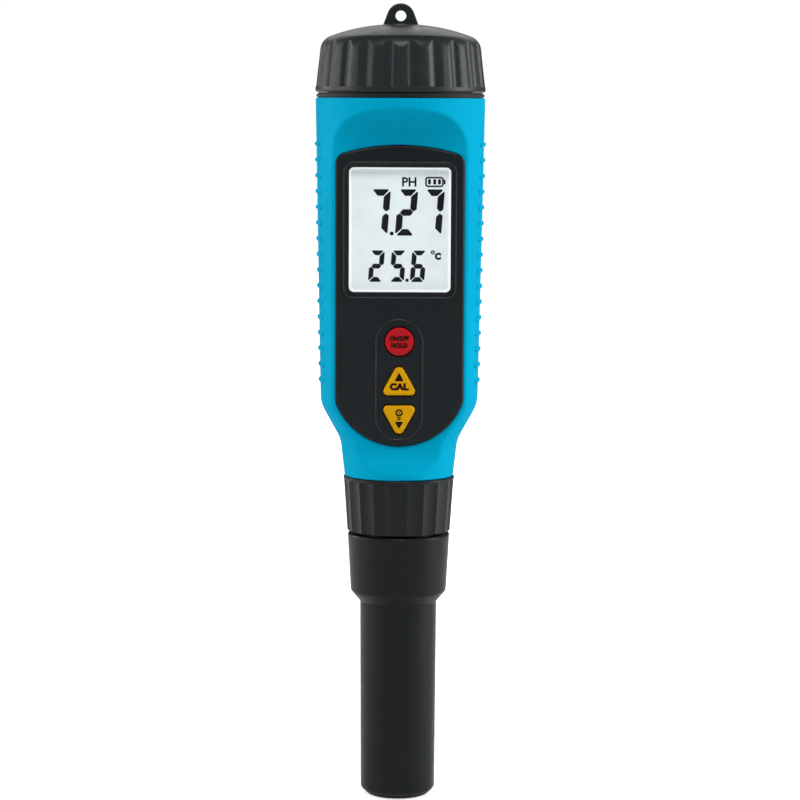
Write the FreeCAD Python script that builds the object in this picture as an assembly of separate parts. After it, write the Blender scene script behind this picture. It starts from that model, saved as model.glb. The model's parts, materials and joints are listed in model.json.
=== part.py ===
import FreeCAD, Part
import math
import os

# Pocket pH meter: a round waterproof pen body with a flat, slightly inclined
# front face, a screw-on battery cap with a lanyard eye, a plug-in electrode held
# by a ribbed collar nut, and a push-on storage cap.
# Frame: millimetres, +Z up along the body axis, the display faces -Y, and the
# origin is the centre of the storage cap's flat base.

V = FreeCAD.Vector
os.makedirs("parts", exist_ok=True)

# ---------------------------------------------------------------- dimensions
# main housing
body_bottom_z = 79.8
body_top_z = 172.16
body_top_r = 20.65
waist_r, waist_z = 19.27, 97.60
neck_r, neck_z = 14.40, 88.81
body_bottom_r = 13.36
counterbore_r, counterbore_z = 18.45, 170.2
tail_bore_r, tail_bore_top = 8.30, 86.5
# front face: a plane that leans in towards the foot
face_z0, face_y0 = 99.8, -10.3
face_slope = 0.0339
face_deg = math.degrees(math.atan(face_slope))
wall_front = 2.2
scoop_top_r, scoop_top_z = 11.5, 158.66
scoop_low_r, scoop_low_z = 5.5, 87.2
face_blend_r = 1.1
# panel on the front face, depths counted from the plane, inwards
panel_half_w = 15.535
panel_top_z, panel_top_r, panel_top_fillet = 161.0, 48.0, 2.8
panel_low_z, panel_low_r, panel_low_fillet = 87.93, 16.5, 4.0
panel_front, panel_back = -0.7, 0.9
recess_depth = 1.3
# display window
win_half_w, win_z0, win_z1, win_r = 12.265, 125.52, 155.62, 1.2
# keys
key_travel = 0.6
key_front, key_back = -1.25, 0.92
key_gap = 0.34
power_z, power_r = 113.62, 3.42
pill_r, pill_z0, pill_z1 = 5.745, 89.5, 119.09
up_tri = [(-2.80, 101.58, 1.02), (2.80, 101.58, 1.02), (0.0, 106.14, 1.28)]
down_tri = [(0.0, 92.45, 1.28), (2.80, 97.00, 1.02), (-2.80, 97.00, 1.02)]
key_stems = [("power", 0.0, power_z), ("up", 0.0, 102.90), ("down", 0.0, 95.70)]
# battery cap and neck
cap_bottom_z, cap_flute_z = 173.55, 174.85
cap_bore_r, cap_bore_top = 18.5, 182.6
cap_flutes, cap_valley_r, cap_lobe_r, cap_valley_depth = 22, 1.7, 2.2, 0.62
neck_root_r, neck_crest_r, neck_bore_r, neck_top_z = 17.6, 18.3, 16.3, 181.5
neck_pitch = 3.0
eye_z, eye_round_z, eye_r, eye_hole_r, eye_thick = 192.0, 191.6, 3.4, 1.3, 2.6
# cells
cell_r, cell_z0, cell_z1 = 5.15, 131.7, 176.0
cell_xy = [(-5.35, 1.70), (5.35, 1.70), (0.0, 10.98)]
# electrode, spigot and collar
spigot_root_r, spigot_crest_r, spigot_bore_r, spigot_bottom_z = 10.4, 10.95, 9.0, 70.0
spigot_pitch = 2.5
collar_top_z, collar_bottom_z = 79.72, 66.2
collar_top_r, collar_bottom_r = 13.66, 12.72
collar_bore_r = 11.15
collar_flutes, collar_flute_r, collar_flute_depth = 20, 7.0, 0.42
boss_r, probe_r = 9.4, 6.1
# storage cap
store_top_z, store_top_r = 65.55, 12.55
store_bore_r, store_tube_bore_r = 9.9, 7.5


# ---------------------------------------------------------------- helpers
def rz(p):
    return V(p[0], 0, p[1])


def yz(p):
    return V(0, p[0], p[1])


def xz(p):
    return V(p[0], 0, p[1])


def poly_edges(points, radii, to):
    """Closed polygon with a rounding radius at each corner."""
    n = len(points)
    corner = []
    for i in range(n):
        p0, p1, p2 = points[i - 1], points[i], points[(i + 1) % n]
        r = radii[i]
        if not r:
            corner.append((p1, None, p1))
            continue
        ux, uy = p0[0] - p1[0], p0[1] - p1[1]
        vx, vy = p2[0] - p1[0], p2[1] - p1[1]
        lu, lv = math.hypot(ux, uy), math.hypot(vx, vy)
        ux, uy, vx, vy = ux / lu, uy / lu, vx / lv, vy / lv
        ang = math.acos(max(-1, min(1, ux * vx + uy * vy)))
        t = r / math.tan(ang / 2)
        bx, by = ux + vx, uy + vy
        lb = math.hypot(bx, by)
        bx, by = bx / lb, by / lb
        d = r / math.sin(ang / 2)
        mid = (p1[0] + bx * (d - r), p1[1] + by * (d - r))
        corner.append(((p1[0] + ux * t, p1[1] + uy * t), mid, (p1[0] + vx * t, p1[1] + vy * t)))
    edges = []
    for i in range(n):
        a, mid, b = corner[i]
        if mid is not None:
            edges.append(Part.Arc(to(a), to(mid), to(b)).toShape())
        nxt = corner[(i + 1) % n][0]
        if math.hypot(nxt[0] - b[0], nxt[1] - b[1]) > 1e-7:
            edges.append(Part.LineSegment(to(b), to(nxt)).toShape())
    return edges


def face_of(edges):
    return Part.Face(Part.Wire(Part.__sortEdges__(edges)))


def turned(points, radii=None):
    """Solid of revolution about Z from a closed (r, z) polygon."""
    f = face_of(poly_edges(points, radii or [0] * len(points), rz))
    return f.revolve(V(0, 0, 0), V(0, 0, 1), 360)


def turned_edges(edges):
    return face_of(edges).revolve(V(0, 0, 0), V(0, 0, 1), 360)


def tube(r_out, r_in, z0, z1):
    return turned([(r_in, z0), (r_out, z0), (r_out, z1), (r_in, z1)])


def disc(r, z0, z1, x=0.0, y=0.0):
    return Part.makeCylinder(r, z1 - z0, V(x, y, z0))


def hull_edges(circles, to):
    """Outline round circles (x, z, r) given anticlockwise."""
    n = len(circles)
    normal = []
    for i in range(n):
        x1, z1, r1 = circles[i]
        x2, z2, r2 = circles[(i + 1) % n]
        dx, dz = x2 - x1, z2 - z1
        d = math.hypot(dx, dz)
        dx, dz = dx / d, dz / d
        s = (r1 - r2) / d
        c = math.sqrt(1 - s * s)
        normal.append((dz * c + dx * s, -dx * c + dz * s))
    edges = []
    for i in range(n):
        x, z, r = circles[i]
        a_in = math.atan2(normal[i - 1][1], normal[i - 1][0])
        a_out = math.atan2(normal[i][1], normal[i][0])
        while a_out < a_in:
            a_out += 2 * math.pi
        m = (a_in + a_out) / 2
        pts = [(x + r * math.cos(a), z + r * math.sin(a)) for a in (a_in, m, a_out)]
        edges.append(Part.Arc(*[to(p) for p in pts]).toShape())
        x2, z2, r2 = circles[(i + 1) % n]
        q = (x2 + r2 * normal[i][0], z2 + r2 * normal[i][1])
        edges.append(Part.LineSegment(to(pts[2]), to(q)).toShape())
    return edges


def grown(circles, d):
    return [(x, z, r + d) for x, z, r in circles]


def round_rect(hw, z0, z1, r, grow=0.0):
    hw, z0, z1, r = hw + grow, z0 - grow, z1 + grow, max(r + grow, 0.05)
    return [(-hw + r, z0 + r, r), (hw - r, z0 + r, r), (hw - r, z1 - r, r), (-hw + r, z1 - r, r)]


def panel_edges(inset, to):
    """The panel's outline, moved inwards by inset."""
    w = panel_half_w - inset
    rt, rb = panel_top_r - inset, panel_low_r - inset
    f1, f2 = panel_top_fillet - inset, panel_low_fillet - inset
    zt, zb = panel_top_z - panel_top_r, panel_low_z + panel_low_r
    c1x = w - f1
    c1z = zt + math.sqrt((rt - f1) ** 2 - c1x ** 2)
    k = rt / (rt - f1)
    t1 = (c1x * k, zt + (c1z - zt) * k)
    c2x = w - f2
    c2z = zb - math.sqrt((rb - f2) ** 2 - c2x ** 2)
    k = rb / (rb - f2)
    t2 = (c2x * k, zb + (c2z - zb) * k)

    def mid(cx, cz, r, p, q):
        mx, mz = (p[0] + q[0]) / 2 - cx, (p[1] + q[1]) / 2 - cz
        m = math.hypot(mx, mz)
        return (cx + mx / m * r, cz + mz / m * r)

    a, b = (w, c1z), (w, c2z)
    m1, m2 = mid(c1x, c1z, f1, a, t1), mid(c2x, c2z, f2, b, t2)
    e = [Part.LineSegment(to(b), to(a)).toShape(),
         Part.Arc(to(a), to(m1), to(t1)).toShape(),
         Part.Arc(to(t1), to((0, zt + rt)), to((-t1[0], t1[1]))).toShape(),
         Part.Arc(to((-t1[0], t1[1])), to((-m1[0], m1[1])), to((-a[0], a[1]))).toShape(),
         Part.LineSegment(to((-a[0], a[1])), to((-b[0], b[1]))).toShape(),
         Part.Arc(to((-b[0], b[1])), to((-m2[0], m2[1])), to((-t2[0], t2[1]))).toShape(),
         Part.Arc(to((-t2[0], t2[1])), to((0, zb - rb)), to(t2)).toShape(),
         Part.Arc(to(t2), to(m2), to(b)).toShape()]
    return e


def slab(edges, n0, n1):
    """Extrude an outline drawn in the XZ plane between depths n0 and n1,
    in the upright frame of the front face."""
    f = face_of(edges)
    f.translate(V(0, face_y0 + n0, 0))
    return f.extrude(V(0, n1 - n0, 0))


def fbox(x0, x1, n0, n1, z0, z1):
    return Part.makeBox(x1 - x0, n1 - n0, z1 - z0, V(x0, face_y0 + n0, z0))


def frod(x, z, r, n0, n1):
    return Part.makeCylinder(r, n1 - n0, V(x, face_y0 + n0, z), V(0, 1, 0))


def lean(shape):
    """From the upright frame of the front face to its real, leaning place."""
    s = shape.copy()
    s.rotate(V(0, face_y0, face_z0), V(1, 0, 0), face_deg)
    return s


def ridge(root_r, crest_r, pitch, z0, turns, half_root, half_crest):
    """A helical thread ridge."""
    path = Part.makeHelix(pitch, pitch * turns, root_r)
    r_in = root_r - 0.35
    pts = [V(r_in, 0, -half_root), V(crest_r, 0, -half_crest), V(crest_r, 0, half_crest), V(r_in, 0, half_root)]
    w = Part.makePolygon(pts + [pts[0]])
    s = Part.Wire(path).makePipeShell([w], True, True)
    s.translate(V(0, 0, z0))
    return s


def coil(x, y, z0, z1, r, wire, turns):
    h = z1 - z0
    path = Part.makeHelix(h / turns, h, r)
    c = Part.Wire(Part.makeCircle(wire, V(r, 0, 0), V(0, 1, 0)))
    s = Part.Wire(path).makePipeShell([c], True, True)
    s.translate(V(x, y, z0))
    return s


def wire_run(points, bend, r):
    """A round lead along straight runs joined by tangent arcs."""
    edges = []
    here = points[0]
    for i in range(1, len(points) - 1):
        p0, p1, p2 = points[i - 1], points[i], points[i + 1]
        u = (p0 - p1).normalize()
        v = (p2 - p1).normalize()
        ang = math.acos(u.dot(v))
        t = bend / math.tan(ang / 2)
        a, b = p1 + u * t, p1 + v * t
        bis = (u + v).normalize()
        m = p1 + bis * (bend / math.sin(ang / 2) - bend)
        edges.append(Part.LineSegment(here, a).toShape())
        edges.append(Part.Arc(a, m, b).toShape())
        here = b
    edges.append(Part.LineSegment(here, points[-1]).toShape())
    path = Part.Wire(edges)
    d = (points[1] - points[0]).normalize()
    c = Part.Wire(Part.makeCircle(r, points[0], d))
    return path.makePipeShell([c], True, False)


def group(shapes):
    return Part.makeCompound(shapes)


def one(shape):
    s = shape.removeSplitter()
    return s.Solids[0] if len(s.Solids) == 1 else s


nodes = {}

# ---------------------------------------------------------------- main housing
c_top = (face_y0 - face_slope * (scoop_top_z - face_z0), scoop_top_z)
ca, sa = math.cos(math.radians(face_deg)), math.sin(math.radians(face_deg))
scoop_c = (c_top[0] - scoop_top_r * ca, c_top[1] - scoop_top_r * sa)
p_low = (face_y0 - face_slope * (scoop_low_z - face_z0), scoop_low_z)
low_c = (p_low[0] - scoop_low_r * ca, p_low[1] - scoop_low_r * sa)


def on_arc(c, r, deg):
    return (c[0] + r * math.cos(math.radians(deg)), c[1] + r * math.sin(math.radians(deg)))


def front_cutter(depth, low):
    """Everything in front of the flat face and its two concave run-outs."""
    rt, rl = scoop_top_r + depth, scoop_low_r + depth
    top0 = on_arc(scoop_c, rt, 90)
    top1 = on_arc(scoop_c, rt, (90 + face_deg) / 2)
    top2 = on_arc(scoop_c, rt, face_deg)
    e = [Part.LineSegment(yz((-45, top0[1])), yz(top0)).toShape(),
         Part.Arc(yz(top0), yz(top1), yz(top2)).toShape()]
    if low:
        l0 = on_arc(low_c, rl, face_deg)
        l1 = on_arc(low_c, rl, (face_deg - 90) / 2)
        l2 = on_arc(low_c, rl, -90)
        e += [Part.LineSegment(yz(top2), yz(l0)).toShape(),
              Part.Arc(yz(l0), yz(l1), yz(l2)).toShape(),
              Part.LineSegment(yz(l2), yz((-45, l2[1]))).toShape(),
              Part.LineSegment(yz((-45, l2[1])), yz((-45, top0[1]))).toShape()]
    else:
        zb = 60.0
        yb = top2[0] + (top2[1] - zb) * face_slope
        e += [Part.LineSegment(yz(top2), yz((yb, zb))).toShape(),
              Part.LineSegment(yz((yb, zb)), yz((-45, zb))).toShape(),
              Part.LineSegment(yz((-45, zb)), yz((-45, top0[1]))).toShape()]
    f = face_of(e)
    f.translate(V(-40, 0, 0))
    return f.extrude(V(80, 0, 0))


def body_r(z):
    return waist_r + (body_top_r - waist_r) * (z - waist_z) / (body_top_z - waist_z)


outer = turned([(0, body_bottom_z), (body_bottom_r, body_bottom_z), (neck_r, neck_z), (waist_r, waist_z),
                (body_top_r, body_top_z), (0, body_top_z)], [0, 0.3, 8, 8, 0.4, 0])
cavity = turned([(0, 89.5), (12.0, 89.5), (17.23, 98.46), (18.35, 167.2), (16.8, 168.9), (16.8, 171.0), (0, 171.0)])
cavity = cavity.cut(front_cutter(wall_front, False))
counterbore = disc(counterbore_r, counterbore_z, 175.0)
tail_bore = disc(tail_bore_r, 75.0, tail_bore_top)
lead_bore = disc(4.5, 85.0, 91.0)
housing = outer.cut(front_cutter(0.0, True))
# the edge between the round body and the flat face with its run-outs is blended all round
blend_edges = []
for e in housing.Edges:
    c, b = e.CenterOfMass, e.BoundBox
    if b.ZMin > body_bottom_z + 1.5 and b.ZMax < body_top_z - 0.5 and c.y < -4.0 and b.XMax - b.XMin < 40 \
            and not (b.XMax > 0.5 and b.XMin < -0.5 and b.ZMax - b.ZMin < 0.02):
        blend_edges.append(e)
housing = housing.makeFillet(face_blend_r, blend_edges)
# grip ribs down both sides
ribs = []
for i in range(16):
    z = 161.0 - i * 3.837
    r = body_r(z) - 0.10
    prof = Part.Face(Part.Wire(Part.makeCircle(0.55, V(r, 0, z), V(0, 1, 0))))
    bar = prof.revolve(V(0, 0, 0), V(0, 0, 1), 36)
    bar.rotate(V(0, 0, 0), V(0, 0, 1), -18)
    for a in (-18, 18):
        t = math.radians(a)
        bar = bar.fuse(Part.makeSphere(0.55, V(r * math.cos(t), r * math.sin(t), z)))
    other = bar.copy()
    other.rotate(V(0, 0, 0), V(0, 0, 1), 180)
    ribs += [bar, other]
housing = housing.fuse(ribs)
housing = housing.cut([cavity, counterbore, tail_bore, lead_bore])
recess = lean(slab(panel_edges(-0.06, xz), -3.0, recess_depth))
opening = lean(slab(panel_edges(1.7, xz), recess_depth - 0.1, wall_front + 0.25))
housing = housing.cut([recess, opening])
# board posts on the side walls and a ledge under the battery cage
inner_env = turned([(0, 89.0), (12.6, 89.0), (17.8, 98.2), (18.9, 167.0), (0, 167.0)])
posts = []
for z in (97.0, 121.0):
    for s in (-1, 1):
        x0, x1 = (9.9, 18.6) if s > 0 else (-18.6, -9.9)
        posts.append(lean(fbox(x0, x1, 5.4, 9.0, z - 2.0, z + 2.0)).common(inner_env))
ledge = tube(18.1, 15.4, 126.2, 127.8).cut(Part.makeBox(60, 60, 60, V(-30, -64.0, 100)))
housing = housing.fuse(posts + [ledge])
screw_xz = [(-11.5, 97.0), (11.5, 97.0), (-11.5, 121.0), (11.5, 121.0)]
housing = housing.cut([lean(frod(x, z, 0.95, 4.0, 8.2)) for x, z in screw_xz])
nodes["main_housing"] = one(housing)

# ---------------------------------------------------------------- threaded neck
neck = turned([(neck_bore_r, counterbore_z), (18.4, counterbore_z), (18.4, body_top_z), (neck_root_r, body_top_z),
               (neck_root_r, neck_top_z), (neck_bore_r, neck_top_z)], [0, 0, 0, 0, 0.4, 0.3])
neck = neck.fuse(ridge(neck_root_r, neck_crest_r, neck_pitch, 174.9, 1.6, 0.95, 0.35))
nodes["threaded_neck"] = one(neck)

# ---------------------------------------------------------------- front panel
panel = slab(panel_edges(0.0, xz), panel_front, panel_back)
edge_list = [e for e in panel.Edges if abs(e.CenterOfMass.y - (face_y0 + panel_front)) < 1e-4
             and abs(e.BoundBox.YMax - e.BoundBox.YMin) < 1e-4]
panel = panel.makeFillet(0.62, edge_list)
# bevelled surround of the display window
bevel_out, bevel_deep = 1.3, 0.32
w0 = Part.Wire(Part.__sortEdges__(hull_edges(round_rect(win_half_w, win_z0, win_z1, win_r, bevel_out + 0.4), xz)))
w1 = Part.Wire(Part.__sortEdges__(hull_edges(round_rect(win_half_w, win_z0, win_z1, win_r, 0.0), xz)))
w0.translate(V(0, face_y0 + panel_front - 0.4 * bevel_deep / bevel_out, 0))
w1.translate(V(0, face_y0 + panel_front + bevel_deep, 0))
panel = panel.cut(Part.makeLoft([w0, w1], True, True))
panel = panel.cut(slab(hull_edges(round_rect(win_half_w, win_z0, win_z1, win_r), xz), -2, 2))
# key holes
panel = panel.cut([slab(hull_edges(grown(up_tri, key_gap), xz), -2, 2),
                   slab(hull_edges(grown(down_tri, key_gap), xz), -2, 2),
                   frod(0, power_z, power_r + key_gap, -2, 2)])
# fine raised line round the key field
pill = [(0, pill_z0 + pill_r, pill_r), (0, pill_z1 - pill_r, pill_r)]
bead = slab(hull_edges(grown(pill, 0.0), xz), panel_front - 0.11, panel_front + 0.2).cut(
    slab(hull_edges(grown(pill, -0.26), xz), panel_front - 1, panel_front + 1))
panel = panel.fuse(bead)
nodes["front_panel"] = one(lean(panel))

nodes["panel_gasket"] = one(lean(slab(panel_edges(0.25, xz), panel_back, recess_depth).cut(
    slab(panel_edges(1.5, xz), 0, 2))))

window = slab(hull_edges(round_rect(win_half_w, win_z0, win_z1, win_r), xz), panel_front + 0.34, panel_back)
nodes["display_window"] = one(lean(window))

# ---------------------------------------------------------------- display stack and board
frame = slab(hull_edges(round_rect(13.6, 123.2, 157.2, 1.0), xz), 0.95, 4.4)
frame = frame.cut([fbox(-12.95, 12.95, 0.95, 5.0, 123.95, 156.65),
                   ])
frame = frame.fuse(slab(hull_edges(round_rect(13.6, 123.2, 157.2, 1.0), xz), 0.95, 1.25).cut(
    fbox(-12.3, 12.3, 0, 3, 125.4, 155.75)))
nodes["lcd_frame"] = one(lean(frame))
nodes["lcd_glass"] = one(lean(fbox(-12.9, 12.9, 1.25, 2.5, 124.0, 156.6)))
nodes["lcd_backlight"] = one(lean(fbox(-12.8, 12.8, 2.55, 3.95, 126.4, 156.4)))
nodes["zebra_strip"] = one(lean(fbox(-12.0, 12.0, 2.5, 4.4, 124.2, 126.0)))

board = slab(poly_edges([(-10.6, 91.6), (10.6, 91.6), (13.2, 95.6), (13.2, 158.4), (-13.2, 158.4), (-13.2, 95.6)],
                        [0.8, 0.8, 1.5, 2.0, 2.0, 1.5], xz), 4.4, 5.4)
board = board.cut([frod(x, z, 1.1, 4, 6) for x, z in screw_xz])
nodes["circuit_board"] = one(lean(board))
nodes["main_chip"] = one(lean(fbox(-4.5, 4.5, 5.4, 6.6, 103.4, 112.4)))
nodes["board_components"] = group([lean(fbox(-9.2, -6.2, 5.4, 6.9, 102.0, 106.0)),
                                   lean(fbox(6.2, 9.6, 5.4, 7.2, 105.0, 108.4)),
                                   lean(fbox(-8.8, -6.6, 5.4, 6.2, 109.4, 111.0)),
                                   lean(frod(7.8, 101.0, 1.9, 5.4, 8.6))])
nodes["switch_bodies"] = group([lean(fbox(-3.0, 3.0, 3.4, 4.4, z - 3.0, z + 3.0).cut(
    frod(x, z, 1.3, 3.0, 4.35))) for _, x, z in key_stems])
screws = []
for x, z in screw_xz:
    s = frod(x, z, 1.85, 3.1, 4.4).cut(fbox(x - 1.2, x + 1.2, 3.0, 3.5, z - 0.22, z + 0.22))
    s = s.cut(fbox(x - 0.22, x + 0.22, 3.0, 3.5, z - 1.2, z + 1.2))
    screws.append(lean(s.fuse(frod(x, z, 0.95, 4.3, 8.0))))
nodes["board_screws"] = group([one(s) for s in screws])

mat_ring = [(0, 97.75, 8.0), (0, 112.4, 8.0)]
mat = slab(hull_edges(mat_ring, xz), 0.9, 4.4).cut(slab(hull_edges(grown(mat_ring, -0.5), xz), 0.0, 5.0))
mat = mat.fuse(slab(hull_edges(grown(mat_ring, -0.25), xz), 2.25, 2.65))
mat = mat.cut([frod(x, z, 1.55, 2, 3) for _, x, z in key_stems])
nodes["key_mat"] = one(lean(mat))

# ---------------------------------------------------------------- keys
def key_shape(face_outline, flange_outline, x, z, crown):
    top = slab(face_outline, key_front, key_back + 0.1)
    es = [e for e in top.Edges if abs(e.BoundBox.YMax - e.BoundBox.YMin) < 1e-4
          and abs(e.CenterOfMass.y - (face_y0 + key_front)) < 1e-3]
    top = top.makeFillet(crown, es)
    k = top.fuse([slab(flange_outline, key_back, 1.5), frod(x, z, 1.4, 1.4, 2.75)])
    return one(lean(k))


circle = [Part.makeCircle(power_r, V(0, 0, power_z), V(0, 1, 0))]
circle_f = [Part.makeCircle(power_r + 0.5, V(0, 0, power_z), V(0, 1, 0))]
nodes["power_key"] = key_shape(circle, circle_f, 0, power_z, 0.42)
nodes["cal_up_key"] = key_shape(hull_edges(up_tri, xz), hull_edges(grown(up_tri, 0.5), xz), 0, 102.90, 0.42)
nodes["light_down_key"] = key_shape(hull_edges(down_tri, xz), hull_edges(grown(down_tri, 0.5), xz), 0, 95.70, 0.42)
for nm, (_, x, z) in zip(("power_plunger", "cal_up_plunger", "light_down_plunger"), key_stems):
    nodes[nm] = one(lean(frod(x, z, 1.1, 2.75, 3.7)))

# ---------------------------------------------------------------- battery cage, cells, contacts
cage = disc(17.2, 127.8, 168.2).cut(Part.makeBox(60, 60, 60, V(-30, -64.9, 120)))
cage = cage.cut([disc(5.25, 131.3, 175.0, x, y) for x, y in cell_xy])
cage = cage.cut([Part.makeBox(7.0, 8.0, 34.0, V(9.5, 4.0, 133.0)), Part.makeBox(7.0, 8.0, 34.0, V(-16.5, 4.0, 133.0))])
nodes["battery_cage"] = one(cage)
cells = []
for i, (x, y) in enumerate(cell_xy):
    if i == 1:
        c = disc(cell_r, cell_z0 + 0.8, cell_z1, x, y).fuse(disc(1.9, cell_z0, cell_z0 + 0.9, x, y))
    else:
        c = disc(cell_r, cell_z0, cell_z1 - 0.8, x, y)
        c = c.makeFillet(0.5, [e for e in c.Edges if abs(e.BoundBox.ZMin - (cell_z1 - 0.8)) < 1e-4
                               and abs(e.BoundBox.ZMax - (cell_z1 - 0.8)) < 1e-4])
        c = c.fuse(disc(1.9, cell_z1 - 0.9, cell_z1, x, y))
    cells.append(one(c))
nodes["battery_cells"] = group(cells)
nodes["battery_contacts"] = group([disc(4.2, 131.3, 131.7, x, y) for x, y in cell_xy])
leads = []
for s in (-1, 1):
    leads.append(wire_run([V(s * 5.35, 1.7, 127.8), V(s * 5.35, 1.7, 116.0), V(s * 5.35, -5.38, 116.0)], 3.2, 0.6))
nodes["battery_leads"] = group(leads)

# ---------------------------------------------------------------- battery cap side
gasket = turned([(18.42, 172.16), (20.1, 172.16), (20.1, 172.34), (20.46, 172.42), (20.46, 173.08), (20.0, 173.16),
                 (20.0, 173.5), (18.42, 173.5)], [0, 0, 0, 0.2, 0.2, 0, 0, 0])
# the neck's shoulder is at the housing's rim, so the ring sits on both
nodes["cap_gasket"] = one(gasket)

plate = disc(15.9, 179.0, 180.6).cut(disc(2.1, 178.0, 182.0))
nodes["contact_plate"] = one(plate)
bridge = Part.makeBox(16.6, 8.4, 0.35, V(-8.3, -1.4, 178.65)).cut(disc(3.3, 178.0, 180.0))
spring_top = 178.3
single = disc(3.6, 178.65, 179.0, *cell_xy[2])
nodes["cap_springs"] = group([one(bridge), single] + [coil(x, y, 176.4, spring_top, 1.6, 0.3, 2.5) for x, y in cell_xy])

cap_low_r, cap_low_z, cap_high_r, cap_high_z = 20.74, 173.95, 19.66, 183.3
prof = [Part.LineSegment(rz((0, cap_bottom_z)), rz((20.35, cap_bottom_z))).toShape(),
        Part.LineSegment(rz((20.35, cap_bottom_z)), rz((cap_low_r, cap_low_z))).toShape(),
        Part.LineSegment(rz((cap_low_r, cap_low_z)), rz((cap_high_r, cap_high_z))).toShape(),
        Part.Arc(rz((cap_high_r, cap_high_z)), rz((18.93, 185.62)), rz((17.3, 187.0))).toShape(),
        Part.Arc(rz((17.3, 187.0)), rz((9.5, 189.2)), rz((0, 190.0))).toShape(),
        Part.LineSegment(rz((0, 190.0)), rz((0, cap_bottom_z))).toShape()]
cap = turned_edges(prof)
cap_mid_r = (cap_low_r + cap_high_r) / 2
cap_mid_z = (cap_low_z + cap_high_z) / 2
taper = math.degrees(math.atan((cap_low_r - cap_high_r) / (cap_high_z - cap_low_z)))


def valley_section(r, valley_r, lobe_r, depth):
    """Section of one valley between two rounded lobes, in XY round the +X axis at radius r."""
    r = r - 0.02
    k = valley_r + lobe_r
    cv = r - depth + valley_r
    # the lobe's centre is at radius r - lobe_r, turned by the angle al
    rl = r - lobe_r
    al = math.acos((cv * cv + rl * rl - k * k) / (2 * cv * rl))
    lx, ly = rl * math.cos(al), rl * math.sin(al)
    t = (lx + (cv - lx) * lobe_r / k, ly + (0 - ly) * lobe_r / k)
    p = (r * math.cos(al), r * math.sin(al))
    ma = (al + math.atan2(t[1] - ly, t[0] - lx)) / 2
    m = (lx + lobe_r * math.cos(ma), ly + lobe_r * math.sin(ma))
    out = (p[0] + 4.0, p[1] + 0.9)

    def xy(q):
        return V(q[0], q[1], 0)

    e = [Part.Arc(xy(p), xy(m), xy(t)).toShape(),
         Part.Arc(xy(t), xy((cv - valley_r, 0)), xy((t[0], -t[1]))).toShape(),
         Part.Arc(xy((t[0], -t[1])), xy((m[0], -m[1])), xy((p[0], -p[1]))).toShape(),
         Part.LineSegment(xy((p[0], -p[1])), xy((out[0], -out[1]))).toShape(),
         Part.LineSegment(xy((out[0], -out[1])), xy(out)).toShape(),
         Part.LineSegment(xy(out), xy(p)).toShape()]
    return face_of(e)


flutes = []
valley = valley_section(cap_mid_r, cap_valley_r, cap_lobe_r, cap_valley_depth)
for i in range(cap_flutes):
    f = valley.copy()
    f.translate(V(0, 0, -cap_mid_z + cap_flute_z))
    c = f.extrude(V(0, 0, 16.0))
    c.rotate(V(cap_mid_r, 0, 0), V(0, 1, 0), -taper)
    c.translate(V(0, 0, cap_mid_z))
    c.rotate(V(0, 0, 0), V(0, 0, 1), -90 + (i + 0.5) * 360.0 / cap_flutes)
    flutes.append(c)
cap = cap.cut(flutes)
eye = [(-4.25, 188.3, 0.6), (4.25, 188.3, 0.6), (0, eye_round_z, eye_r)]
f = face_of(hull_edges(eye, xz))
f.translate(V(0, -eye_thick / 2, 0))
tab = f.extrude(V(0, eye_thick, 0))
tab = tab.makeFillet(0.35, [e for e in tab.Edges if e.BoundBox.YMax - e.BoundBox.YMin < 1e-4 and e.BoundBox.ZMax > 189.5])
cap = cap.fuse(tab)
cap = cap.cut(Part.makeCylinder(eye_hole_r, 10, V(0, -5, eye_z), V(0, 1, 0)))
cap = cap.cut([disc(cap_bore_r, 170, cap_bore_top), disc(16.1, 180, 185.2)])
cap = cap.fuse(disc(4.0, 180.65, 185.6))
cap = cap.cut(disc(1.2, 180.0, 184.2))
nodes["battery_cap"] = one(cap)
screw = disc(2.0, 178.95, 180.65).fuse([disc(1.2, 180.5, 184.2), disc(2.8, 177.6, 178.95)])
screw = screw.cut(Part.makeBox(6, 0.7, 0.6, V(-3, -0.35, 177.5)))
nodes["plate_screw"] = one(screw)

# ---------------------------------------------------------------- spigot and socket
spigot = turned([(spigot_bore_r, spigot_bottom_z), (spigot_root_r, spigot_bottom_z), (spigot_root_r, body_bottom_z),
                 (tail_bore_r, body_bottom_z), (tail_bore_r, tail_bore_top), (6.6, tail_bore_top), (6.6, 78.0),
                 (spigot_bore_r, 78.0)], [0.3, 0.4, 0, 0, 0, 0, 0, 0])
spigot = spigot.fuse(ridge(spigot_root_r, spigot_crest_r, spigot_pitch, 74.0, 1.6, 0.8, 0.3))
nodes["lower_spigot"] = one(spigot)
pin_xy = [(3.6 * math.cos(math.radians(60 * i + 30)), 3.6 * math.sin(math.radians(60 * i + 30))) for i in range(6)]
socket = disc(6.6, 84.0, 86.4).cut([disc(0.55, 83.0, 85.9, x, y) for x, y in pin_xy])
nodes["electrode_socket"] = one(socket)
nodes["socket_pins"] = group([disc(0.4, 86.4, 88.0, x, y) for x, y in pin_xy])
leads = []
for s in (-1, 1):
    leads.append(wire_run([V(s * 1.6, 0.4, 86.4), V(s * 1.6, 0.4, 95.0), V(s * 1.6, -4.66, 95.0)], 2.6, 0.5))
nodes["electrode_leads"] = group(leads)

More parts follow.
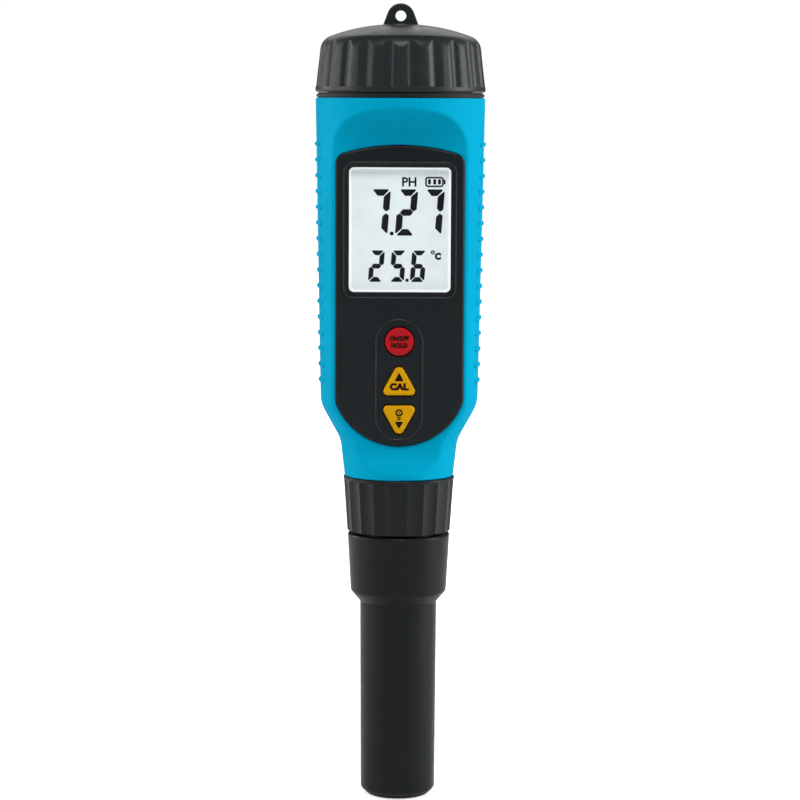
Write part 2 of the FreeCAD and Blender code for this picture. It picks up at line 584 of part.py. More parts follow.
# ---------------------------------------------------------------- electrode
body = turned([(0, 15.5), (probe_r, 15.5), (probe_r, 50.6), (boss_r, 52.9), (boss_r, 68.4), (10.6, 68.4), (10.6, 69.95),
               (8.85, 69.95), (8.85, 77.3), (6.3, 77.3), (6.3, 83.5), (0, 83.5)],
              [0, 0, 0.6, 0.5, 0, 0.2, 0.2, 0, 0.4, 0, 0.4, 0])
guard = tube(probe_r, 4.9, 8.9, 15.6)
for a in (0, 90):
    slot = Part.makeBox(20, 6.0, 8.0, V(-10, -3.0, 7.5))
    slot.rotate(V(0, 0, 0), V(0, 0, 1), a)
    guard = guard.cut(slot)
body = body.fuse(guard)
body = body.cut([disc(4.7, 15.0, 60.0)])
body = body.cut([tube(9.6, 8.0, 53.7, 55.5), tube(9.6, 8.0, 56.3, 58.1), tube(9.6, 7.2, 72.6, 74.4)])
nodes["electrode_housing"] = one(body)


def o_ring(major, minor, z):
    return Part.makeTorus(major, minor, V(0, 0, z), V(0, 0, 1))


nodes["spigot_o_ring"] = o_ring(8.10, 0.85, 73.5)
nodes["boss_o_rings"] = group([o_ring(8.98, 0.87, 54.6), o_ring(8.98, 0.87, 57.2)])
nodes["end_plug"] = one(disc(4.7, 15.5, 18.5).cut([disc(2.0, 15, 19), disc(0.6, 15, 19, 2.8, 2.8), disc(0.6, 15, 19, -2.8, -2.8)]))
bulb = Part.makeSphere(2.9, V(0, 0, 12.8)).fuse(disc(2.0, 14.0, 57.0))
bulb = bulb.cut(Part.makeSphere(2.45, V(0, 0, 12.8)).fuse(disc(1.45, 14.0, 58.0)))
nodes["glass_bulb"] = one(bulb)
nodes["silver_wire"] = disc(0.35, 12.9, 60.0)
nodes["temperature_sensor"] = one(disc(0.6, 11.4, 19.5, 2.8, 2.8))
nodes["reference_junction"] = one(disc(0.6, 15.0, 18.5, -2.8, -2.8))
nodes["electrode_pins"] = group([disc(0.45, 83.5, 85.6, x, y) for x, y in pin_xy])

# ---------------------------------------------------------------- collar and storage cap
nodes["collar_washer"] = tube(10.9, 9.5, 67.85, 68.35)
collar = turned([(9.6, collar_bottom_z), (collar_bottom_r, collar_bottom_z), (collar_top_r, collar_top_z),
                 (collar_bore_r, collar_top_z), (collar_bore_r, 67.8), (9.6, 67.8)], [0.2, 0.35, 0.3, 0.3, 0, 0])
tilt_c = math.degrees(math.atan((collar_top_r - collar_bottom_r) / (collar_top_z - collar_bottom_z)))
cuts = []
for i in range(collar_flutes):
    mid_r = (collar_top_r + collar_bottom_r) / 2
    c = Part.makeCylinder(collar_flute_r, 18.0, V(mid_r - collar_flute_depth + collar_flute_r, 0, -11.5), V(0, 0, 1))
    c.rotate(V(mid_r, 0, 0), V(0, 1, 0), tilt_c)
    c.translate(V(0, 0, (collar_top_z + collar_bottom_z) / 2))
    c = c.cut(Part.makeBox(30, 30, 10, V(5, -15, 78.95)))
    c.rotate(V(0, 0, 0), V(0, 0, 1), -90 + i * 360.0 / collar_flutes)
    cuts.append(c)
collar = collar.cut(cuts)
nodes["collar_nut"] = one(collar)

store = turned([(0, 0), (7.2, 0), (9.14, 1.75), (9.42, 48.5), (11.74, 51.2), (store_top_r, store_top_z),
                (store_bore_r, store_top_z), (store_bore_r, 52.2), (store_tube_bore_r, 49.2), (store_tube_bore_r, 2.0),
                (0, 2.0)], [0, 1.3, 1.3, 0.8, 1.2, 0.5, 0.35, 0, 0, 0.8, 0])
nodes["storage_cap"] = one(store)
nodes["cap_sponge"] = turned([(0, 2.0), (6.65, 2.0), (7.4, 2.9), (7.4, 3.9), (0, 3.9)], [0, 0, 0, 0.3, 0])

# ---------------------------------------------------------------- write
total = 0.0
for name, shape in nodes.items():
    bb = shape.BoundBox
    vol = shape.Volume
    total += vol
    print("%-20s solids %2d valid %s vol %9.1f  x %7.2f %7.2f  y %7.2f %7.2f  z %7.2f %7.2f faces %d" % (
        name, len(shape.Solids), shape.isValid(), vol, bb.XMin, bb.XMax, bb.YMin, bb.YMax, bb.ZMin, bb.ZMax, len(shape.Faces)))
    shape.exportStep("parts/%s.step" % name)
print("nodes", len(nodes), "volume", round(total, 1))
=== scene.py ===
import bpy
import bmesh
import json
import math
from mathutils import Matrix, Vector


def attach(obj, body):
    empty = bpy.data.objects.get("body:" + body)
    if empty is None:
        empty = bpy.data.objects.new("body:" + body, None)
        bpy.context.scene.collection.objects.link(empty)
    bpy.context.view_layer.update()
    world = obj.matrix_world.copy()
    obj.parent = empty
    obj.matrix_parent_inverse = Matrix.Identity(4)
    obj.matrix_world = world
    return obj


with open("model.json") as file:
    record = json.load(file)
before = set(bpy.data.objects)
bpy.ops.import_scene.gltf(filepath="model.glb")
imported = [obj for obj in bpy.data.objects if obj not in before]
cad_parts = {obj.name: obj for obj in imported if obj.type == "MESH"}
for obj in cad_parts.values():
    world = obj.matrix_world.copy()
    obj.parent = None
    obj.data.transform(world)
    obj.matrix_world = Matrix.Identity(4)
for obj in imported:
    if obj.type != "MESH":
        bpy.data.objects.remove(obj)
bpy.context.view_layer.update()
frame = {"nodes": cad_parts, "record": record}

MM = 0.001
nodes = frame["nodes"]
scene = bpy.context.scene

# ------------------------------------------------------------------ materials
class Mat:
    """A node material built step by step; positions are object millimetres."""

    def __init__(self, name):
        self.m = bpy.data.materials.new(name)
        self.m.use_nodes = True
        self.nt = self.m.node_tree
        self.nt.nodes.clear()
        self.out = self.nt.nodes.new("ShaderNodeOutputMaterial")
        self.b = self.nt.nodes.new("ShaderNodeBsdfPrincipled")
        self.nt.links.new(self.b.outputs[0], self.out.inputs[0])
        tc = self.nt.nodes.new("ShaderNodeTexCoord")
        mp = self.nt.nodes.new("ShaderNodeMapping")
        mp.inputs["Scale"].default_value = (1000, 1000, 1000)
        self.nt.links.new(tc.outputs["Object"], mp.inputs["Vector"])
        self.pos = mp.outputs[0]

    def link(self, a, b):
        self.nt.links.new(a, b)

    def set(self, **k):
        names = {"color": "Base Color", "rough": "Roughness", "metal": "Metallic", "ior": "IOR",
                 "spec": "Specular IOR Level", "coat": "Coat Weight", "coat_rough": "Coat Roughness",
                 "alpha": "Alpha", "trans": "Transmission Weight", "sss": "Subsurface Weight",
                 "sheen": "Sheen Weight", "sheen_rough": "Sheen Roughness",
                 "emit": "Emission Strength", "emit_color": "Emission Color"}
        for a, v in k.items():
            s = self.b.inputs[names[a]]
            if isinstance(v, bpy.types.NodeSocket):
                self.link(v, s)
            elif a in ("color", "emit_color"):
                s.default_value = (*v[:3], 1)
            else:
                s.default_value = v
        return self

    def noise(self, scale, detail=4.0, rough=0.55, vec=None, distort=0.0):
        n = self.nt.nodes.new("ShaderNodeTexNoise")
        n.inputs["Scale"].default_value = scale
        n.inputs["Detail"].default_value = detail
        n.inputs["Roughness"].default_value = rough
        n.inputs["Distortion"].default_value = distort
        self.link(vec or self.pos, n.inputs["Vector"])
        return n.outputs[0]

    def voronoi(self, scale, feature="F1", vec=None):
        n = self.nt.nodes.new("ShaderNodeTexVoronoi")
        n.feature = feature
        n.inputs["Scale"].default_value = scale
        self.link(vec or self.pos, n.inputs["Vector"])
        return n.outputs["Distance"]

    def wave(self, scale, axis="Z", distort=0.0, kind="BANDS"):
        n = self.nt.nodes.new("ShaderNodeTexWave")
        n.wave_type = kind
        n.bands_direction = axis
        n.inputs["Scale"].default_value = scale
        n.inputs["Distortion"].default_value = distort
        self.link(self.pos, n.inputs["Vector"])
        return n.outputs["Fac"]

    def ramp(self, fac, stops, interp="LINEAR"):
        n = self.nt.nodes.new("ShaderNodeValToRGB")
        cr = n.color_ramp
        cr.interpolation = interp
        while len(cr.elements) < len(stops):
            cr.elements.new(0.5)
        for e, (p, c) in zip(cr.elements, stops):
            e.position = p
            e.color = (*c, 1) if len(c) == 3 else c
        self.link(fac, n.inputs[0])
        return n.outputs[0]

    def span(self, fac, lo, hi, a=0.0, b=1.0):
        n = self.nt.nodes.new("ShaderNodeMapRange")
        n.inputs[1].default_value, n.inputs[2].default_value = a, b
        n.inputs[3].default_value, n.inputs[4].default_value = lo, hi
        self.link(fac, n.inputs[0])
        return n.outputs[0]

    def math(self, op, a, b=0.0, c=0.0):
        n = self.nt.nodes.new("ShaderNodeMath")
        n.operation = op
        for i, v in enumerate((a, b, c)):
            if isinstance(v, bpy.types.NodeSocket):
                self.link(v, n.inputs[i])
            else:
                n.inputs[i].default_value = v
        return n.outputs[0]

    def axis(self, i):
        n = self.nt.nodes.new("ShaderNodeSeparateXYZ")
        self.link(self.pos, n.inputs[0])
        return n.outputs[i]

    def mix(self, fac, a, b, mode="MIX"):
        n = self.nt.nodes.new("ShaderNodeMix")
        n.data_type = "RGBA"
        n.blend_type = mode
        for s, v in ((n.inputs[0], fac), (n.inputs[6], a), (n.inputs[7], b)):
            if isinstance(v, bpy.types.NodeSocket):
                self.link(v, s)
            elif s is n.inputs[0]:
                s.default_value = v
            else:
                s.default_value = (*v[:3], 1)
        return n.outputs[2]

    def bump(self, height, distance_mm, strength=1.0, edge=0.0):
        n = self.nt.nodes.new("ShaderNodeBump")
        n.inputs["Strength"].default_value = strength
        n.inputs["Distance"].default_value = distance_mm * MM
        self.link(height, n.inputs["Height"])
        if edge:
            bv = self.nt.nodes.new("ShaderNodeBevel")
            bv.samples = 4
            bv.inputs["Radius"].default_value = edge * MM
            self.link(bv.outputs[0], n.inputs["Normal"])
        self.link(n.outputs[0], self.b.inputs["Normal"])
        return self

    def edge_mask(self, radius_mm):
        """1 along sharp edges, 0 on plain surface."""
        bv = self.nt.nodes.new("ShaderNodeBevel")
        bv.samples = 4
        bv.inputs["Radius"].default_value = radius_mm * MM
        g = self.nt.nodes.new("ShaderNodeNewGeometry")
        d = self.nt.nodes.new("ShaderNodeVectorMath")
        d.operation = "DOT_PRODUCT"
        self.link(bv.outputs[0], d.inputs[0])
        self.link(g.outputs["Normal"], d.inputs[1])
        return self.span(d.outputs["Value"], 1.0, 0.0, 0.72, 0.995)


def moulded(name, color, rough=0.5, spec=0.4, grain=0.012, grain_scale=7.0, vary=0.06, edge=0.12, wear=0.0,
            wear_color=(0.2, 0.2, 0.2), sss=0.0, coat=0.0, speck=0.0):
    """Injection-moulded plastic: a fine spark-eroded grain, faint flow and colour variation, softened edges."""
    m = Mat(name)
    broad = m.noise(0.05, 3, 0.5)
    fine = m.noise(grain_scale, 3, 0.65)
    pits = m.voronoi(grain_scale * 0.55)
    lo = tuple(c * (1 - vary) for c in color)
    hi = tuple(min(1, c * (1 + vary)) for c in color)
    col = m.mix(m.span(broad, 0, 1, 0.3, 0.7), lo, hi)
    if speck:
        col = m.mix(m.math("MULTIPLY", m.span(fine, 0, 1, 0.56, 0.75), speck), col, tuple(min(1, c * 1.8 + 0.02) for c in color))
    if wear:
        w = m.math("MULTIPLY", m.edge_mask(0.22), m.span(m.noise(0.9, 5), 0, wear, 0.35, 0.75))
        col = m.mix(w, col, wear_color)
    m.set(color=col, spec=spec, coat=coat, coat_rough=0.25)
    m.set(rough=m.span(m.noise(0.35, 4), rough - 0.05, rough + 0.05, 0.3, 0.7))
    if sss:
        m.set(sss=sss)
        m.b.inputs["Subsurface Radius"].default_value = (0.4 * MM, 0.3 * MM, 0.3 * MM)
    m.bump(m.math("ADD", fine, m.math("MULTIPLY", pits, -0.6)), grain, 1.0, edge)
    return m.m


def rubber(name, color, rough=0.75):
    m = Mat(name)
    g = m.noise(5.0, 5, 0.6)
    dust = m.span(m.noise(0.6, 4), 0, 1, 0.45, 0.8)
    m.set(color=m.mix(m.math("MULTIPLY", dust, 0.25), color, tuple(c * 2.4 + 0.01 for c in color)), spec=0.25,
          rough=m.span(g, rough - 0.08, rough + 0.08, 0.3, 0.7), sheen=0.12, sheen_rough=0.5)
    m.bump(g, 0.012, 1.0, 0.08)
    return m.m


def metal(name, color, rough=0.25, brush="Z"):
    m = Mat(name)
    mp = m.nt.nodes.new("ShaderNodeMapping")
    s = {"X": (0.4, 9, 9), "Y": (9, 0.4, 9), "Z": (9, 9, 0.4)}[brush]
    mp.inputs["Scale"].default_value = s
    m.link(m.pos, mp.inputs["Vector"])
    streak = m.noise(1.0, 3, 0.6, mp.outputs[0])
    tarnish = m.span(m.noise(0.45, 5), 0, 1, 0.4, 0.75)
    m.set(color=m.mix(m.math("MULTIPLY", tarnish, 0.35), color, tuple(c * 0.6 for c in color)), metal=1.0,
          rough=m.span(streak, rough - 0.08, rough + 0.12, 0.3, 0.7))
    m.bump(streak, 0.003, 0.8, 0.05)
    return m.m


BLUE = (0.0, 0.355, 0.57)
mats = {}
mats["body_blue"] = moulded("body_blue", BLUE, 0.60, 0.014, 0.0045, 3.0, 0.025, 0.10, 0.10, (0.06, 0.46, 0.68), 0.04)
mats["cap_grey"] = moulded("cap_grey", (0.0150, 0.0185, 0.0200), 0.42, 0.30, 0.0040, 3.0, 0.10, 0.14, 0.35, (0.10, 0.105, 0.11))
mats["neck_black"] = moulded("neck_black", (0.016, 0.016, 0.018), 0.42, 0.42, 0.006, 8.0, 0.1, 0.08, 0.3, (0.08, 0.08, 0.08))
mats["panel_black"] = moulded("panel_black", (0.0092, 0.0125, 0.0140), 0.34, 0.18, 0.0016, 3.6, 0.10, 0.08, 0.25, (0.035, 0.04, 0.042))
# a lighter, glossier copy of the panel's black: painted highlight for the raised lines on the panel
mats["bead_black_painted_highlight"] = moulded("bead_black_painted_highlight", (0.018, 0.021, 0.023), 0.30, 0.35, 0.002, 9.0, 0.08, 0)
mats["seal_rubber"] = rubber("seal_rubber", (0.0035, 0.0045, 0.0055), 0.62)
mats["key_red"] = moulded("key_red", (0.46, 0.008, 0.013), 0.40, 0.15, 0.004, 10.0, 0.05, 0.10, 0.35, (0.72, 0.07, 0.07), 0.12)
mats["key_yellow"] = moulded("key_yellow", (0.66, 0.335, 0.003), 0.40, 0.06, 0.004, 10.0, 0.05, 0.10, 0.35, (0.85, 0.52, 0.08), 0.12)
mats["legend_dark"] = moulded("legend_dark", (0.030, 0.004, 0.003), 0.60, 0.06, 0.003, 12.0, 0.1, 0)
mats["legend_black"] = moulded("legend_black", (0.010, 0.005, 0.004), 0.60, 0.06, 0.003, 12.0, 0.1, 0)
mats["electrode_black"] = moulded("electrode_black", (0.014, 0.0145, 0.016), 0.36, 0.45, 0.004, 8.0, 0.1, 0.10, 0.25, (0.08, 0.08, 0.08))
mats["collar_black"] = moulded("collar_black", (0.0085, 0.0108, 0.0122), 0.34, 0.21, 0.0024, 3.0, 0.1, 0.12, 0.15, (0.07, 0.075, 0.08))
mats["storage_black"] = moulded("storage_black", (0.0068, 0.0088, 0.0104), 0.33, 0.17, 0.0018, 2.6, 0.08, 0.0, 0.0)
mats["frame_white"] = moulded("frame_white", (0.80, 0.82, 0.82), 0.45, 0.4, 0.004, 8.0, 0.02, 0.06)
mats["backlight"] = moulded("backlight", (0.85, 0.87, 0.87), 0.35, 0.4, 0.004, 8.0, 0.02, 0.06)
mats["switch_plastic"] = moulded("switch_plastic", (0.55, 0.55, 0.52), 0.45, 0.4, 0.004, 8.0, 0.05, 0.05)
mats["cage_black"] = moulded("cage_black", (0.02, 0.02, 0.022), 0.5, 0.4, 0.008, 7.0, 0.1, 0.08, 0.3, (0.08, 0.08, 0.08))
mats["chip_black"] = moulded("chip_black", (0.02, 0.02, 0.021), 0.6, 0.3, 0.006, 12.0, 0.1, 0.04)
mats["silicone"] = rubber("silicone", (0.04, 0.042, 0.045), 0.6)
mats["zebra_rubber"] = rubber("zebra_rubber", (0.10, 0.10, 0.10), 0.6)
mats["lead_insulation"] = rubber("lead_insulation", (0.32, 0.02, 0.02), 0.45)
mats["steel"] = metal("steel", (0.62, 0.62, 0.61), 0.24, "X")
mats["contact_metal"] = metal("contact_metal", (0.78, 0.66, 0.40), 0.22, "Y")
mats["silver"] = metal("silver", (0.60, 0.59, 0.57), 0.35, "Z")
mats["ceramic"] = moulded("ceramic", (0.78, 0.77, 0.72), 0.8, 0.2, 0.02, 9.0, 0.06, 0)
mats["plug_white"] = moulded("plug_white", (0.60, 0.61, 0.60), 0.6, 0.3, 0.005, 8.0, 0.04, 0.06, sss=0.1)
mats["washer_nylon"] = moulded("washer_nylon", (0.66, 0.65, 0.60), 0.4, 0.4, 0.005, 8.0, 0.04, 0.05, sss=0.15)

# clear acrylic lens: mostly see-through, faint reflections, roughness varying a little across it
m = Mat("window_clear")
s = m.noise(0.25, 2, 0.5)
m.set(color=(0.02, 0.02, 0.02), alpha=m.span(s, 0.03, 0.05, 0.3, 0.7), rough=m.span(m.noise(1.5, 4), 0.03, 0.08, 0.3, 0.7), spec=0.5)
mats["window_clear"] = m.m

# reflective display glass with a faint cell pattern, and a painted glow: its emission stands in for light, keeping it
# near white in the bezel's shade
m = Mat("lcd_glass")
cloud = m.noise(0.06, 3, 0.5)
cells = m.math("MULTIPLY", m.wave(3.2, "X"), m.wave(3.2, "Z"))
tone = m.math("ADD", m.math("MULTIPLY", cloud, 0.7), m.math("MULTIPLY", cells, 0.3))
col = m.mix(m.span(tone, 0, 1, 0.2, 0.8), (0.70, 0.775, 0.785), (0.765, 0.835, 0.84))
# painted glow: the emission lifts the display glass to near white
m.set(color=col, rough=m.span(m.noise(2.0, 4), 0.32, 0.42, 0.3, 0.7), spec=0.3, emit_color=(0.86, 0.94, 0.95), emit=0.31)
m.bump(m.noise(6, 2), 0.002)
mats["lcd_glass"] = m.m

m = Mat("lcd_ink")
m.set(color=m.mix(m.noise(4.0, 3), (0.004, 0.005, 0.006), (0.012, 0.013, 0.014)), rough=0.5, spec=0.2)
m.bump(m.noise(8, 2), 0.001)
mats["lcd_ink"] = m.m

# white border material: its emission is a painted glow, standing in for light on the border
m = Mat("glowing_border_white")
m.set(color=m.mix(m.noise(0.5, 3), (0.86, 0.88, 0.88), (0.92, 0.93, 0.93)), rough=0.5, spec=0.3, emit_color=(1, 1, 1), emit=0.62)
m.bump(m.noise(6, 2), 0.001)
mats["glowing_border_white"] = m.m

# thin pH glass
m = Mat("bulb_glass")
m.set(color=(0.92, 0.97, 0.96), alpha=m.span(m.noise(0.8, 3), 0.22, 0.34, 0.3, 0.7), rough=0.04, spec=0.8, coat=0.6, coat_rough=0.02)
m.bump(m.noise(0.8, 3), 0.02)
mats["bulb_glass"] = m.m

# open foam
m = Mat("sponge")
pore = m.voronoi(1.9)
m.set(color=m.mix(m.span(pore, 0, 1, 0.1, 0.7), (0.30, 0.25, 0.09), (0.66, 0.58, 0.28)), rough=0.9, spec=0.15, sheen=0.3)
m.bump(pore, 0.35, 1.0)
mats["sponge"] = m.m

# printed board: solder mask with copper showing through as tracks
m = Mat("board_green")
track = m.ramp(m.voronoi(0.42, "DISTANCE_TO_EDGE"), [(0.0, (1, 1, 1)), (0.07, (1, 1, 1)), (0.09, (0, 0, 0))])
m.set(color=m.mix(track, (0.010, 0.085, 0.030), (0.030, 0.16, 0.05)), rough=m.span(m.noise(1.2, 4), 0.28, 0.4, 0.3, 0.7), spec=0.5)
m.bump(m.math("ADD", track, m.math("MULTIPLY", m.noise(5, 3), 0.2)), 0.02)
mats["board_green"] = m.m

# cell: bare can ends, a printed sleeve with one generic band
m = Mat("cell_jacket")
z = m.axis(2)
sleeve = m.ramp(m.span(z, 0, 1, 131.7, 176.0), [(0.0, (0.45, 0.45, 0.46)), (0.022, (0.02, 0.022, 0.03)), (0.70, (0.55, 0.30, 0.02)),
                                               (0.965, (0.72, 0.72, 0.70))], "CONSTANT")
m.set(color=sleeve, metal=m.ramp(m.span(z, 0, 1, 131.7, 176.0), [(0.0, (1, 1, 1)), (0.022, (0.3, 0.3, 0.3)), (0.965, (1, 1, 1))], "CONSTANT"),
      rough=m.span(m.noise(0.8, 4), 0.22, 0.34, 0.3, 0.7))
m.bump(m.noise(4, 3), 0.004)
mats["cell_jacket"] = m.m

for row in frame["record"]["subparts"]:
    o = nodes.get(row["node"])
    if o is None:
        continue
    mat = mats[row["material_slot"]]
    if not o.data.materials:
        o.data.materials.append(mat)
    for i in range(len(o.data.materials)):
        o.data.materials[i] = mat

# ------------------------------------------------------------------ the front face's frame
FACE_Y, FACE_Z = -10.3, 99.8
LEAN = math.atan(0.0339)
face_matrix = (Matrix.Translation((0, FACE_Y * MM, FACE_Z * MM)) @ Matrix.Rotation(LEAN, 4, "X")
               @ Matrix.Translation((0, -FACE_Y * MM, -FACE_Z * MM)))


def new_object(name, mesh, body, mat, matrix=None):
    o = bpy.data.objects.new(name, mesh)
    scene.collection.objects.link(o)
    if matrix is not None:
        mesh.transform(matrix)
    mesh.materials.clear()
    mesh.materials.append(mats[mat])
    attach(o, body)
    return o


def round_corners(points, r, steps=4):
    """A polygon with each corner cut by a small arc."""
    out = []
    n = len(points)
    for i in range(n):
        a, b, c = Vector(points[i - 1]), Vector(points[i]), Vector(points[(i + 1) % n])
        u, v = (a - b), (c - b)
        lu, lv = u.length, v.length
        u, v = u / lu, v / lv
        ang = math.acos(max(-1, min(1, u.dot(v))))
        rr = r
        t = min(rr / math.tan(ang / 2), 0.45 * lu, 0.45 * lv)
        rr = t * math.tan(ang / 2)
        mid = (u + v)
        if mid.length < 1e-6:
            out.append(tuple(b))
            continue
        mid.normalize()
        ctr = b + mid * (rr / math.sin(ang / 2))
        p0, p1 = b + u * t - ctr, b + v * t - ctr
        a0 = math.atan2(p0.y, p0.x)
        a1 = math.atan2(p1.y, p1.x)
        d = a1 - a0
        while d > math.pi:
            d -= 2 * math.pi
        while d < -math.pi:
            d += 2 * math.pi
        for k in range(steps + 1):
            q = a0 + d * k / steps
            out.append((ctr.x + rr * math.cos(q), ctr.y + rr * math.sin(q)))
    return out


def plate_mesh(name, outlines, n0, n1, bevel=0.0):
    """Flat shapes in the face's frame, between depths n0 (front) and n1; each outline is [(x, z)], with optional holes."""
    bm = bmesh.new()
    for item in outlines:
        outer, holes = item if isinstance(item, tuple) and isinstance(item[0], list) else (item, [])
        loops = []
        for loop in [outer] + list(holes):
            vs = [bm.verts.new((x * MM, (FACE_Y + n0) * MM, z * MM)) for x, z in loop]
            es = [bm.edges.new((vs[i], vs[(i + 1) % len(vs)])) for i in range(len(vs))]
            loops.append((vs, es))
        all_edges = [e for _, es in loops for e in es]
        res = bmesh.ops.triangle_fill(bm, use_beauty=True, use_dissolve=False, edges=all_edges, normal=(0, -1, 0))
        faces = [g for g in res["geom"] if isinstance(g, bmesh.types.BMFace)]
        for f in faces:
            if f.normal.y > 0:
                f.normal_flip()
        # the extruded copy stays at the front and the old faces become the back
        bmesh.ops.extrude_face_region(bm, geom=faces)
        back = {v for f in faces if f.is_valid for v in f.verts}
        for v in back:
            v.co.y = (FACE_Y + n1) * MM
    bmesh.ops.recalc_face_normals(bm, faces=bm.faces)
    if bevel:
        rim = [e for e in bm.edges if all(abs(v.co.y - (FACE_Y + n0) * MM) < 1e-8 for v in e.verts) and len(e.link_faces) == 2
               and abs(e.link_faces[0].normal.dot(e.link_faces[1].normal)) < 0.5]
        bmesh.ops.bevel(bm, geom=rim, offset=bevel * MM, segments=2, affect="EDGES", profile=0.6)
    me = bpy.data.meshes.new(name)
    bm.to_mesh(me)
    bm.free()
    return me


def circle(cx, cz, r, n=40):
    return [(cx + r * math.cos(2 * math.pi * i / n), cz + r * math.sin(2 * math.pi * i / n)) for i in range(n)]


def rounded_rect(x0, x1, z0, z1, r, steps=8):
    return round_corners([(x0, z0), (x1, z0), (x1, z1), (x0, z1)], r, steps)


# ------------------------------------------------------------------ display segments
def digit(kind, x0, z0, w, h, t, slant, g):
    """One seven-segment figure: mitred bars with small gaps, slanted to the right."""
    on = {"0": "abcdef", "1": "bc", "2": "abged", "5": "afgcd", "6": "afgedc", "7": "abc"}[kind]
    hh = h / 2
    e = t * 0.5
    c = t * 0.28
    seg = {
        "a": [(g + c * 0.2, h), (w - g - c * 0.2, h), (w - t - g * 0.4, h - t), (t + g * 0.4, h - t)],
        "d": [(g + c * 0.2, 0), (t + g * 0.4, t), (w - t - g * 0.4, t), (w - g - c * 0.2, 0)],
        "b": [(w, h - g - c * 0.2), (w, hh + e * 0.9), (w - e, hh + g), (w - t, hh + e + g), (w - t, h - t - g)],
        "c": [(w, g + c * 0.2), (w - t, t + g), (w - t, hh - e - g), (w - e, hh - g), (w, hh - e * 0.9)],
        "f": [(0, h - g - c * 0.2), (t, h - t - g), (t, hh + e + g), (e, hh + g), (0, hh + e * 0.9)],
        "e": [(0, g + c * 0.2), (0, hh - e * 0.9), (e, hh - g), (t, hh - e - g), (t, t + g)],
        "g": [(e * 0.7 + g, hh), (t * 0.85 + g * 0.6, hh + e), (w - t * 0.85 - g * 0.6, hh + e), (w - e * 0.7 - g, hh),
              (w - t * 0.85 - g * 0.6, hh - e), (t * 0.85 + g * 0.6, hh - e)],
    }
    out = []
    for s in on:
        pts = [(x0 + u + v * slant, z0 + v) for u, v in seg[s]]
        out.append(round_corners(pts, t * 0.13, 3))
    return out


INK0, INK1 = 1.205, 1.235
SL = math.tan(math.radians(4.5))
big = (digit("7", -7.80, 139.14, 4.75, 11.16, 1.58, SL, 0.20) + digit("2", -1.23, 139.14, 4.75, 11.16, 1.58, SL, 0.20)
       + digit("7", 5.18, 139.14, 4.75, 11.16, 1.58, SL, 0.20) + [circle(-1.97, 139.63, 0.48)])
small = (digit("2", -7.69, 127.94, 3.50, 7.59, 1.16, SL, 0.15) + digit("5", -2.50, 127.94, 3.50, 7.59, 1.16, SL, 0.15)
         + digit("6", 2.41, 127.94, 3.50, 7.59, 1.16, SL, 0.15) + [circle(1.78, 128.34, 0.40)])
new_object("lcd_main_figures", plate_mesh("lcd_main_figures", big, INK0, INK1), "housing", "lcd_ink", face_matrix)
new_object("lcd_temperature_figures", plate_mesh("lcd_temperature_figures", small, INK0, INK1), "housing", "lcd_ink", face_matrix)


def text_mesh(name, string, x0, x1, z0, z1, n0, n1, bold=0.0, spacing=1.0):
    """Plain lettering fitted to a box in the face's frame."""
    cu = bpy.data.curves.new(name, "FONT")
    cu.body = string
    cu.size = 1.0
    cu.offset = bold
    cu.space_character = spacing
    cu.extrude = 0.5
    cu.resolution_u = 6
    tmp = bpy.data.objects.new(name + "_tmp", cu)
    scene.collection.objects.link(tmp)
    bpy.context.view_layer.update()
    dg = bpy.context.evaluated_depsgraph_get()
    me = bpy.data.meshes.new_from_object(tmp.evaluated_get(dg))
    bpy.data.objects.remove(tmp)
    xs = [v.co.x for v in me.vertices]
    ys = [v.co.y for v in me.vertices]
    zs = [v.co.z for v in me.vertices]
    sx = (x1 - x0) / (max(xs) - min(xs))
    sz = (z1 - z0) / (max(ys) - min(ys))
    zlo, zhi = min(zs), max(zs)
    for v in me.vertices:
        front = (v.co.z - zlo) / (zhi - zlo)
        v.co = Vector(((x0 + (v.co.x - min(xs)) * sx) * MM, (FACE_Y + n1 + (n0 - n1) * front) * MM,
                       (z0 + (v.co.y - min(ys)) * sz) * MM))
    me.name = name
    return me


new_object("lcd_ph_mark", text_mesh("lcd_ph_mark", "PH", 0.48, 3.92, 150.95, 153.20, INK0, INK1, 0.026), "housing", "lcd_ink", face_matrix)
new_object("lcd_unit_c", text_mesh("lcd_unit_c", "C", 8.45, 9.95, 133.30, 135.05, INK0, INK1, 0.085), "housing", "lcd_ink", face_matrix)
new_object("lcd_unit_ring", plate_mesh("lcd_unit_ring", [(circle(7.98, 135.12, 0.50), [circle(7.98, 135.12, 0.19)])], INK0, INK1),
           "housing", "lcd_ink", face_matrix)
bat = [(rounded_rect(6.03, 10.50, 150.86, 153.32, 0.66), [rounded_rect(6.42, 10.11, 151.24, 152.94, 0.32)]),
       rounded_rect(10.54, 10.93, 151.52, 152.66, 0.15)]
bat += [rounded_rect(x, x + 0.68, 151.50, 152.76, 0.18) for x in (6.72, 7.99, 9.12)]
new_object("lcd_battery_mark", plate_mesh("lcd_battery_mark", bat, INK0, INK1), "housing", "lcd_ink", face_matrix)
# white border under the lens, in a material with a painted glow that keeps it bright in the bezel's shade
edge = [(rounded_rect(-12.255, 12.255, 125.53, 155.61, 1.19, 10), [rounded_rect(-11.92, 11.92, 125.87, 155.27, 0.95, 10)])]
new_object("lens_border", plate_mesh("lens_border", edge, 0.905, 0.935), "housing", "glowing_border_white", face_matrix)
